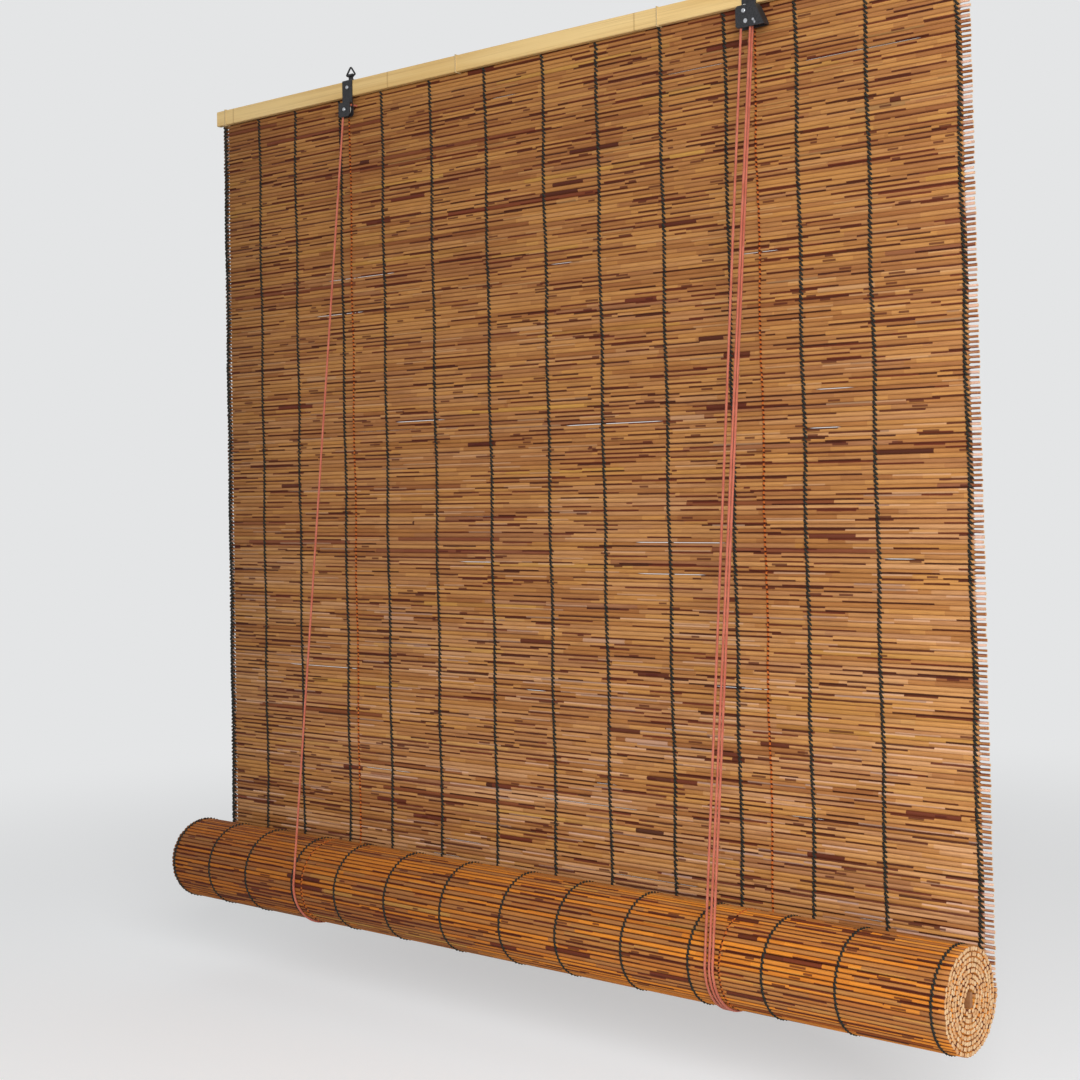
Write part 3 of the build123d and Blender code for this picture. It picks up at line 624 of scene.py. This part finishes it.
STEPS = wound_steps(WOUND_REEDS)
wound = []
ripple = random.Random(77)
phases = [ripple.uniform(0, 2 * pi) for _ in range(4)]
for number, turned in enumerate(STEPS):
    centre_y, radius, angle = wound_place(turned)
    slack = min(1.0, max(0.0, (turned - 4.0) / 8.0))
    wave = sum(sin(angle * (2 + k) * 1.3 + phases[k]) for k in range(4)) / 4
    radius += slack * 0.0011 * wave
    reed = grown_reed(WOUND_BLANK, -1 - number, 5000 + number, height=0.0026, depth=0.0026, tips=(0.94, 1.0))
    turn = Matrix.Rotation(angle, 4, "X")
    out = Matrix.Translation((0, radius, 0))
    reed.data.transform(Matrix.Translation((0, centre_y, ROLL_Z)) @ turn @ out)
    wound.append(reed)
roll = joined(wound, "wound_reeds")
roll.data.materials[0] = ROLLED_REED
bpy.data.objects.remove(HUNG_BLANK)
bpy.data.objects.remove(WOUND_BLANK)


# The threads
STITCH_REACH = 0.0026
MARKER_REACH = 0.0024
MAT_STITCH, MAT_MARKER = 0.0019, 0.0008
ROLL_STITCH, ROLL_MARKER = 0.0013, 0.0006
RING_REEDS = 70


def mat_thread(place, lift, first, reach):
    """Control points of one of a column's two twisted threads, up the hanging mat: it passes the front of
    every second reed and the back of the others, and crosses its partner between reeds."""
    x = (place - 0.5) * MAT_WIDTH
    rng = random.Random(int(place * 10000))
    sway = rng.uniform(0, 6)
    points = []
    for number in range(HUNG_REEDS - 4):
        z = MAT_FOOT + number * REED_PITCH
        drift = 0.001 * sin(number * 0.16 + sway) + rng.uniform(-0.0004, 0.0004)
        cross = lift * (1 if (number + first) % 2 else -1)
        side = -1 if (number + first) % 2 else 1
        y = MAT_MIDDLE + side * reach
        points.append((x + drift + cross, MAT_MIDDLE, z))
        points.append((x + drift + cross * 0.7, y, z + REED_PITCH * 0.35))
        points.append((x + drift - cross * 0.7, y, z + REED_PITCH * 0.65))
    return points


def roll_thread(place, lift, first, reach):
    """The same thread where it goes on round the roll."""
    x = (place - 0.5) * MAT_WIDTH
    points = []
    for number in range(RING_REEDS):
        for share, cross, swing in ((0.0, 1, 0), (0.35, 0.7, 1), (0.65, -0.7, 1)):
            turned = STEPS[number] + (share - 0.5) * (STEPS[number + 1] - STEPS[number])
            centre_y, radius, angle = wound_place(max(turned, 0.0))
            outside = 1 if (number + first) % 2 else -1
            radius += swing * outside * reach
            points.append((x + cross * lift * outside, centre_y + radius * cos(angle),
                           ROLL_Z + radius * sin(angle)))
    return points


def thread_piece(name, routes, radius, finish):
    """Several threads as one piece, each a four-sided strand along its own smooth line."""
    data = bpy.data.curves.new(name, "CURVE")
    data.dimensions = "3D"
    data.bevel_depth = radius
    data.bevel_resolution = 0
    data.resolution_u = 1
    data.use_fill_caps = True
    for route in routes:
        spline = data.splines.new("NURBS")
        spline.points.add(len(route) - 1)
        for point, place in zip(spline.points, route):
            point.co = (*place, 1)
        spline.order_u = 3
        spline.use_endpoint_u = True
    obj = bpy.data.objects.new(name, data)
    bpy.context.scene.collection.objects.link(obj)
    pick(obj)
    bpy.ops.object.convert(target="MESH")
    obj = bpy.context.object
    bpy.ops.object.shade_smooth()
    return paint_with(obj, finish)


warp_one = thread_piece(
    "warp_threads_one", [mat_thread(p, MAT_STITCH, 0, STITCH_REACH) for p in WARP_PLACES],
    THREAD_RADIUS, WARP_THREAD)
warp_two = thread_piece(
    "warp_threads_two", [mat_thread(p, MAT_STITCH, 1, STITCH_REACH) for p in WARP_PLACES],
    THREAD_RADIUS, WARP_THREAD)
markers = thread_piece(
    "marker_stitches", [mat_thread(p, MAT_MARKER, k, MARKER_REACH) for p in MARKER_PLACES for k in (0, 1)],
    MARKER_RADIUS, MARKER_THREAD)
rings = thread_piece(
    "roll_warp_rings", [roll_thread(p, ROLL_STITCH, k, STITCH_REACH) for p in WARP_PLACES for k in (0, 1)],
    THREAD_RADIUS, WARP_THREAD)
marker_rings = thread_piece(
    "roll_marker_rings", [roll_thread(p, ROLL_MARKER, k, MARKER_REACH) for p in MARKER_PLACES for k in (0, 1)],
    MARKER_RADIUS, MARKER_THREAD)


# The cords
def mm(*point):
    return tuple(value / 1000 for value in point)


def cord_piece(name, route, radius=CORD_RADIUS, smooth=8, sides=2, closed=False):
    """A round cord along a smooth line through its route."""
    data = bpy.data.curves.new(name, "CURVE")
    data.dimensions = "3D"
    data.bevel_depth = radius
    data.bevel_resolution = sides
    data.resolution_u = smooth
    data.use_fill_caps = True
    spline = data.splines.new("NURBS")
    spline.points.add(len(route) - 1)
    for point, place in zip(spline.points, route):
        point.co = (*place, 1)
    spline.order_u = 3
    spline.use_endpoint_u = not closed
    spline.use_cyclic_u = closed
    obj = bpy.data.objects.new(name, data)
    bpy.context.scene.collection.objects.link(obj)
    pick(obj)
    bpy.ops.object.convert(target="MESH")
    obj = bpy.context.object
    bpy.ops.object.shade_smooth()
    return paint_with(obj, CORD)


LEFT_X, RIGHT_X = -323.04, 335.04
CORD_ON_WHEEL = 6.2
LEFT_Y, FRONT_Y, REAR_Y = -9.8, -14.3, -9.8
LEFT_EXIT, RIGHT_EXIT = -67.2, -66.2
LEFT_AXLE, RIGHT_AXLE = -57.7, -48.9
CORD_ON_ROLL = 55.9
ROLL_Y_MM, ROLL_Z_MM = -47.8, -1079.2
STRAND_DROP = LEFT_EXIT - ROLL_Z_MM
STRAND_SET_BACK = LEFT_Y - ROLL_Y_MM
TOUCH_LEAN = asin(CORD_ON_ROLL / hypot(STRAND_SET_BACK, STRAND_DROP)) - atan2(STRAND_SET_BACK, STRAND_DROP)
TOUCH_Y = ROLL_Y_MM - CORD_ON_ROLL * cos(TOUCH_LEAN)
TOUCH_Z = ROLL_Z_MM + CORD_ON_ROLL * sin(TOUCH_LEAN)
BACK_Y, BACK_TOP, ANCHOR_Z = 8.8, -50.2, -41.8
TIED_Y, BEHIND_Y = 19.2, 10.2
LIFT_X, PULL_X = RIGHT_X - CORD_ON_WHEEL, RIGHT_X + CORD_ON_WHEEL
LEFT_ROLL_X, RIGHT_ROLL_X = -342.04, 318.04
FRONT_PULL_X, REAR_PULL_X = 323.64, 328.04


# Each front strand's last stretch above the roll moves with the roll, so that the raised roll stays clear of it
LEAD_IN = 40
FIRST_RUN = 17
LEFT_STRAND = ((LEFT_X - CORD_ON_WHEEL, LEFT_Y, LEFT_EXIT), LEFT_ROLL_X)
RIGHT_STRAND = ((LIFT_X, FRONT_Y, RIGHT_EXIT), RIGHT_ROLL_X)
FRONT_PULL_STRAND = ((PULL_X, FRONT_Y, RIGHT_EXIT), FRONT_PULL_X)
REAR_PULL_STRAND = ((PULL_X, REAR_Y, RIGHT_EXIT), REAR_PULL_X)


def front_route(strand):
    """Straight down from a pulley to where the strand's lead-in starts, above the front of the roll."""
    top, foot = Vector(strand[0]), Vector((strand[1], TOUCH_Y, TOUCH_Z))
    down = (foot - top).normalized()
    return [mm(*top), mm(*(top + down * FIRST_RUN)), mm(*(foot - down * LEAD_IN))]


def lead_in(name, strand):
    """The strand's last stretch, from its front route's end to where it touches the roll."""
    top, foot = Vector(strand[0]), Vector((strand[1], TOUCH_Y, TOUCH_Z))
    down = (foot - top).normalized()
    route = [mm(*(foot - down * LEAD_IN)), mm(*(foot - down * LEAD_IN / 2)), mm(*foot)]
    return cord_piece(name, route, smooth=2)


def back_route(x, roll_x):
    """Straight down behind the mat, from a strap to the back of the roll."""
    top, foot = Vector((x, BACK_Y, BACK_TOP)), Vector((roll_x, BACK_Y, ROLL_Z_MM))
    lead = top + (foot - top).normalized() * FIRST_RUN
    return [mm(*top), mm(*lead), mm(*foot)]


def shortened(obj):
    """Gives the piece a mesh of its own."""
    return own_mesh(obj)


def taut_piece(name, route, slot, *nodes):
    obj = cord_piece(name, route, smooth=4)
    dressed(obj, "head", slot, *nodes)
    return shortened(obj)


taut_piece("left_lift_cord_front", front_route(LEFT_STRAND), "cord", "left_lift_front_run")
taut_piece("right_lift_cord_front", front_route(RIGHT_STRAND), "cord", "right_lift_front_run")
taut_piece("front_pull_cord_run", front_route(FRONT_PULL_STRAND), "cord", "front_pull_cord")
taut_piece("rear_pull_cord_run", front_route(REAR_PULL_STRAND), "cord", "rear_pull_cord")
taut_piece("left_lift_cord_back", back_route(LEFT_X, LEFT_ROLL_X), "cord", "left_lift_back_run")
taut_piece("right_lift_cord_back", back_route(RIGHT_X, RIGHT_ROLL_X), "cord", "right_lift_back_run")


def spun_cord(name, x, start, span, steps):
    """A cord pulled round the roll: a round section spun about the roll's own axis, in degrees from the back."""
    deselect()
    bpy.ops.mesh.primitive_circle_add(vertices=10, radius=CORD_RADIUS, fill_type="NGON",
                                      location=mm(x, ROLL_Y_MM + CORD_ON_ROLL * cos(radians(start)),
                                                  ROLL_Z_MM + CORD_ON_ROLL * sin(radians(start))),
                                      rotation=(radians(start), 0, 0))
    obj = bake_place(bpy.context.object)
    bpy.ops.object.mode_set(mode="EDIT")
    bpy.ops.mesh.select_all(action="SELECT")
    bpy.ops.mesh.spin(steps=steps, dupli=False, angle=radians(span), center=mm(x, ROLL_Y_MM, ROLL_Z_MM),
                      axis=(-1, 0, 0))
    bpy.ops.mesh.select_all(action="SELECT")
    bpy.ops.mesh.remove_doubles(threshold=1e-6)
    bpy.ops.mesh.normals_make_consistent(inside=False)
    bpy.ops.object.mode_set(mode="OBJECT")
    obj.name = name
    pick(obj)
    bpy.ops.object.shade_smooth_by_angle(angle=radians(40))
    return paint_with(obj, CORD)


# The slings go under the roll to its back; the pull ends go part of the way and end in one knot
FRONT_ANGLE = 180 - degrees(TOUCH_LEAN)
TAIL_SPAN = 100
KNOT_PAST_TAIL = 3.85
KNOT_OFF_CORD = 2.1
left_sling = spun_cord("left_sling", LEFT_ROLL_X, FRONT_ANGLE, 360 - FRONT_ANGLE, 36)
right_sling = spun_cord("right_sling", RIGHT_ROLL_X, FRONT_ANGLE, 360 - FRONT_ANGLE, 36)
slings = joined([left_sling, right_sling, lead_in("left_lead_in", LEFT_STRAND),
                 lead_in("right_lead_in", RIGHT_STRAND)], "lift_cord_round_roll")
dressed(slings, "slings", "cord", "lift_cord_slings")

KNOT_ANGLE = radians(FRONT_ANGLE + TAIL_SPAN + KNOT_PAST_TAIL)
KNOT_REACH = CORD_ON_ROLL + KNOT_OFF_CORD
knot_centre = Vector(((FRONT_PULL_X + REAR_PULL_X) / 2, ROLL_Y_MM + KNOT_REACH * cos(KNOT_ANGLE),
                      ROLL_Z_MM + KNOT_REACH * sin(KNOT_ANGLE)))
for name, x, strand, node in (("front_pull_cord_tail", FRONT_PULL_X, FRONT_PULL_STRAND, "front_pull_cord"),
                              ("rear_pull_cord_tail", REAR_PULL_X, REAR_PULL_STRAND, "rear_pull_cord")):
    tail = joined([spun_cord(name, x, FRONT_ANGLE, TAIL_SPAN, 20), lead_in(name + "_lead_in", strand)], name)
    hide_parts(node)
    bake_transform(tail)


def tight_knot(name, centre, axis, size=0.0021, wire=0.0012):
    """A pulled-tight overhand knot: the cord's own loop, drawn small round itself."""
    turn = Vector((0, 0, 1)).rotation_difference(Vector(axis)).to_matrix()
    route = []
    for step in range(18):
        t = 2 * pi * step / 18
        loop = Vector((sin(t) + 2 * sin(2 * t), cos(t) - 2 * cos(2 * t), -1.4 * sin(3 * t))) * (size / 2.4)
        route.append(Vector(centre) / 1000 + turn @ loop)
    return cord_piece(name, [tuple(p) for p in route], radius=wire, smooth=4, sides=2, closed=True)


pull_knot = tight_knot("pull_cord_end_knot", knot_centre, (0, -sin(KNOT_ANGLE), cos(KNOT_ANGLE)))
dressed(pull_knot, "pull_ends", "cord", "pull_cord_knot")

tied = []
for side, x in (("left", LEFT_X), ("right", RIGHT_X)):
    tied.append(cord_piece(side + "_tied_end", [mm(x, BACK_Y, BACK_TOP), mm(x, BACK_Y, ANCHOR_Z + 1.2),
                                                mm(x, BACK_Y + 3, ANCHOR_Z), mm(x, TIED_Y, ANCHOR_Z)]))
    tied.append(tight_knot(side + "_tied_knot", (x, TIED_Y, ANCHOR_Z), (0, 1, 0)))
dressed(joined(tied, "tied_cord_ends"), "head", "cord", "lift_cord_tied_ends")

LEFT_TOP, RIGHT_TOP = LEFT_AXLE + CORD_ON_WHEEL, RIGHT_AXLE + CORD_ON_WHEEL
LEFT_EYE_X, RIGHT_EYE_X = -315.64, 322.04
crossing = cord_piece("left_cord_over_wheel_and_across", [
    mm(LEFT_X - CORD_ON_WHEEL, LEFT_Y, LEFT_EXIT),
    mm(LEFT_X - CORD_ON_WHEEL, LEFT_Y, LEFT_TOP),
    mm(LEFT_EYE_X, LEFT_Y, LEFT_TOP),
    mm(LEFT_EYE_X, BEHIND_Y, LEFT_TOP),
    mm(LEFT_EYE_X + 22, BEHIND_Y, LEFT_TOP),
    mm(RIGHT_EYE_X - 22, BEHIND_Y, RIGHT_TOP),
    mm(RIGHT_EYE_X, BEHIND_Y, RIGHT_TOP),
    mm(RIGHT_EYE_X, REAR_Y, RIGHT_TOP),
    mm(PULL_X, REAR_Y, RIGHT_TOP),
    mm(PULL_X, REAR_Y, RIGHT_EXIT),
])
turning = cord_piece("right_cord_over_wheel", [
    mm(LIFT_X, FRONT_Y, RIGHT_EXIT),
    mm(LIFT_X, FRONT_Y, RIGHT_TOP),
    mm(PULL_X, FRONT_Y, RIGHT_TOP),
    mm(PULL_X, FRONT_Y, RIGHT_EXIT),
])
dressed(joined([crossing, turning], "cords_over_pulleys"), "head", "cord", "lift_cords_over_wheels")


# The mat and its threads go to their bodies
for piece, slot, nodes, top in (
    (mat, "reed", ["reed_mat"], MAT_TOP),
    (warp_one, "thread", ["warp_threads_front"], THREADS_TOP),
    (warp_two, "thread", ["warp_threads_back"], THREADS_TOP),
    (markers, "marker_thread", ["marker_threads"], THREADS_TOP),
):
    dressed(piece, "head", slot, *nodes)
    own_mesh(piece)
dressed(roll, "roll", "reed", "reed_roll")
dressed(rings, "roll", "thread")
dressed(marker_rings, "roll", "marker_thread")


# Rings and rivets
def ring_piece(name, x, node, body):
    """A hanger ring bent from round wire to a triangle with eased corners."""
    z_low, z_high = -9.6, 1.2
    half = (z_high - z_low) / 1.19
    corners = [(-half + 2.2, z_low), (half - 2.2, z_low), (half - 0.8, z_low + 1.2), (1.4, z_high - 0.7),
               (0, z_high + 0.3), (-1.4, z_high - 0.7), (-half + 0.8, z_low + 1.2)]
    route = []
    for (x1, z1), (x2, z2) in zip(corners, corners[1:] + corners[:1]):
        route.append(mm(x + x1, 0, z1))
        if abs(x2 - x1) > 4 or abs(z2 - z1) > 4:
            route.append(mm(x + x1 + (x2 - x1) * 0.15, 0, z1 + (z2 - z1) * 0.15))
            route.append(mm(x + x1 + (x2 - x1) * 0.85, 0, z1 + (z2 - z1) * 0.85))
    obj = cord_piece(name, route, radius=0.0012, smooth=4, sides=3, closed=True)
    paint_with(obj, BLACK_STEEL)
    return dressed(obj, body, "black_steel", node)


def dome(x, y, z, outward, radius, rise):
    """A domed rivet head: a short drum whose rim is bevelled to a dome, facing along Y."""
    deselect()
    bpy.ops.mesh.primitive_cylinder_add(vertices=28, radius=radius, depth=rise, rotation=(radians(90), 0, 0),
                                        location=(x, y + outward * rise / 2, z))
    obj = bake_place(bpy.context.object)
    bpy.ops.object.mode_set(mode="EDIT")
    bpy.ops.mesh.select_all(action="DESELECT")
    bpy.ops.object.mode_set(mode="OBJECT")
    for face in obj.data.polygons:
        face.select = face.normal.y * outward > 0.9
    bpy.ops.object.mode_set(mode="EDIT")
    bpy.ops.mesh.bevel(offset=rise * 0.85, segments=5, profile=0.5)
    bpy.ops.object.mode_set(mode="OBJECT")
    bpy.ops.object.shade_smooth_by_angle(angle=radians(50))
    return paint_with(obj, BRIGHT_STEEL)


def shank(x, z, front, back, radius):
    """A rivet's plain shank."""
    deselect()
    bpy.ops.mesh.primitive_cylinder_add(vertices=20, radius=radius, depth=back - front, rotation=(radians(90), 0, 0),
                                        location=(x, (front + back) / 2, z))
    obj = bake_place(bpy.context.object)
    bpy.ops.object.shade_smooth_by_angle(angle=radians(50))
    return paint_with(obj, BRIGHT_STEEL)


SHANK_RADIUS, HEAD_RADIUS, HEAD_RISE = 0.0015, 0.0027, 0.0011


def rivets(name, node, places):
    made = []
    for x, z, front, back in places:
        made.append(shank(x, z, front, back, SHANK_RADIUS))
        made.append(dome(x, front, z, -1, HEAD_RADIUS, HEAD_RISE))
        made.append(dome(x, back, z, 1, HEAD_RADIUS, HEAD_RISE))
    return dressed(joined(made, name), "head", "bright_steel", node)


rivets("domed_strap_rivets", "strap_rivets", [
    (LEFT_X / 1000, -0.027, -0.0074, 0.0156),
    (RIGHT_X / 1000, -0.027, -0.0074, 0.0156),
])
rivets("domed_axle_rivets", "pulley_axles", [
    (LEFT_X / 1000, LEFT_AXLE / 1000, -0.0134, -0.0062),
    (RIGHT_X / 1000, RIGHT_AXLE / 1000, -0.0179, -0.0062),
])
ring_piece("left_round_wire_ring", LEFT_X, "left_hanger_ring", "left_ring")
ring_piece("right_round_wire_ring", RIGHT_X, "right_hanger_ring", "right_ring")


# Finishes of the CAD pieces
CAD_FINISHES = {
    "head_rail_front": RAIL_BAMBOO, "head_rail_back": RAIL_BAMBOO, "core_slat": SLAT_BAMBOO,
    "rail_ties": TIE_THREAD, "left_hanger_strap": BLACK_STEEL, "right_hanger_strap": BLACK_STEEL,
    "left_pulley_cheek": BLACK_STEEL, "cord_lock_housing": BLACK_STEEL, "cord_lock_anvil": BRIGHT_STEEL,
    "cord_lock_roller": BRIGHT_STEEL, "left_pulley_wheel": WHEEL_NYLON, "lock_front_wheel": WHEEL_NYLON,
    "lock_rear_wheel": WHEEL_NYLON,
}
FINISHES_BY_WORD = (("cord", CORD), ("lift", CORD), ("rivet", BRIGHT_STEEL), ("axle", BRIGHT_STEEL),
                    ("ring", BLACK_STEEL), ("thread", WARP_THREAD), ("reed", ROLLED_REED))
for node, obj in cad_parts.items():
    by_word = [finish for word, finish in FINISHES_BY_WORD if word in node]
    paint_with(obj, CAD_FINISHES.get(node) or by_word[0])


# Floor, light and camera
PALE_GREY = paint(228, 229, 230)
FLOOR_Z = -1.24
FLOOR_SIZE = 24
FLOOR_LIFT = 0.35
SKY_STRENGTH = 0.4


def backdrop_finish(name, shade):
    """A matt surface that takes the shade's shadow, lifted to its own pale colour where the camera sees it."""
    made, n, shader = material(name, Roughness=0.9, Specular_IOR_Level=0.0)
    seen = n.add("ShaderNodeLightPath").outputs["Is Camera Ray"]
    away = n.add("ShaderNodeVectorMath", {0: n.place()}, operation="LENGTH").outputs["Value"]
    far = n.steps(away, 0.9, 2.6)
    n.set(shader.inputs["Base Color"], n.mix(far, shade, paint(0, 0, 0)))
    shader.inputs["Emission Color"].default_value = shade
    lift = n.math("ADD", FLOOR_LIFT, n.math("MULTIPLY", far, 1 - FLOOR_LIFT))
    n.set(shader.inputs["Emission Strength"], n.math("MULTIPLY", seen, lift))
    return made


deselect()
bpy.ops.mesh.primitive_plane_add(size=FLOOR_SIZE, location=(0, 0, FLOOR_Z))
floor = bpy.context.object
floor.name = "floor"
paint_with(floor, backdrop_finish("pale_floor", PALE_GREY))

world = bpy.data.worlds.new("studio")
bpy.context.scene.world = world
world.use_nodes = True
sky = Nodes(world.node_tree)
path = sky.add("ShaderNodeLightPath").outputs
mirrored = sky.math("MAXIMUM", path["Is Glossy Ray"], path["Is Transmission Ray"])
seen = sky.math("MAXIMUM", path["Is Camera Ray"], mirrored)
plain = world.node_tree.nodes["Background"]
plain.inputs["Color"].default_value = paint(255, 255, 255)
plain.inputs["Strength"].default_value = SKY_STRENGTH
shown = sky.add("ShaderNodeBackground")
shown.inputs["Color"].default_value = PALE_GREY
shown.inputs["Strength"].default_value = 1.0
blend = sky.add("ShaderNodeMixShader", {0: seen, 1: plain.outputs[0], 2: shown.outputs[0]})
world.node_tree.links.new(blend.outputs[0], world.node_tree.nodes["World Output"].inputs["Surface"])


def lamp(name, place, aim, size, power):
    data = bpy.data.lights.new(name, "AREA")
    data.shape = "SQUARE"
    data.size = size
    data.energy = power
    obj = bpy.data.objects.new(name, data)
    bpy.context.scene.collection.objects.link(obj)
    obj.location = place
    obj.rotation_euler = (Vector(aim) - Vector(place)).to_track_quat("-Z", "Y").to_euler()
    return obj


lamp("key", place=(2.3, -1.9, 0.05), aim=(0.2, 0, -0.75), size=1.6, power=76)
lamp("fill", place=(0.6, -3.4, -0.4), aim=(0.1, 0, -0.8), size=2.5, power=22)

# The camera fitted to the photograph: where it stands, how it is turned, and its lens in the picture's own pixels
CAMERA_PLACE = (1.4332, -1.5978, -0.5705)
YAW, PITCH, ROLL = radians(39.323), radians(1.761), radians(-1.138)
PICTURE_SIDE = 1080
FOCAL_PIXELS = 1751
SHIFT_RIGHT, SHIFT_UP = -74.3, -107.9
forward = Vector((-sin(YAW) * cos(PITCH), cos(YAW) * cos(PITCH), sin(PITCH)))
level = Vector((cos(YAW), sin(YAW), 0))
upward = level.cross(forward)
right = level * cos(ROLL) + upward * sin(ROLL)
up = upward * cos(ROLL) - level * sin(ROLL)
camera_data = bpy.data.cameras.new("camera")
camera_data.sensor_fit = "HORIZONTAL"
camera_data.sensor_width = 36
camera_data.lens = FOCAL_PIXELS / PICTURE_SIDE * 36
camera_data.shift_x = SHIFT_RIGHT / PICTURE_SIDE
camera_data.shift_y = SHIFT_UP / PICTURE_SIDE
camera = bpy.data.objects.new("camera", camera_data)
bpy.context.scene.collection.objects.link(camera)
turn = Matrix((right, up, -forward)).transposed().to_4x4()
camera.matrix_world = Matrix.Translation(CAMERA_PLACE) @ turn
bpy.context.scene.camera = camera
bpy.context.scene.view_settings.view_transform = "Standard"
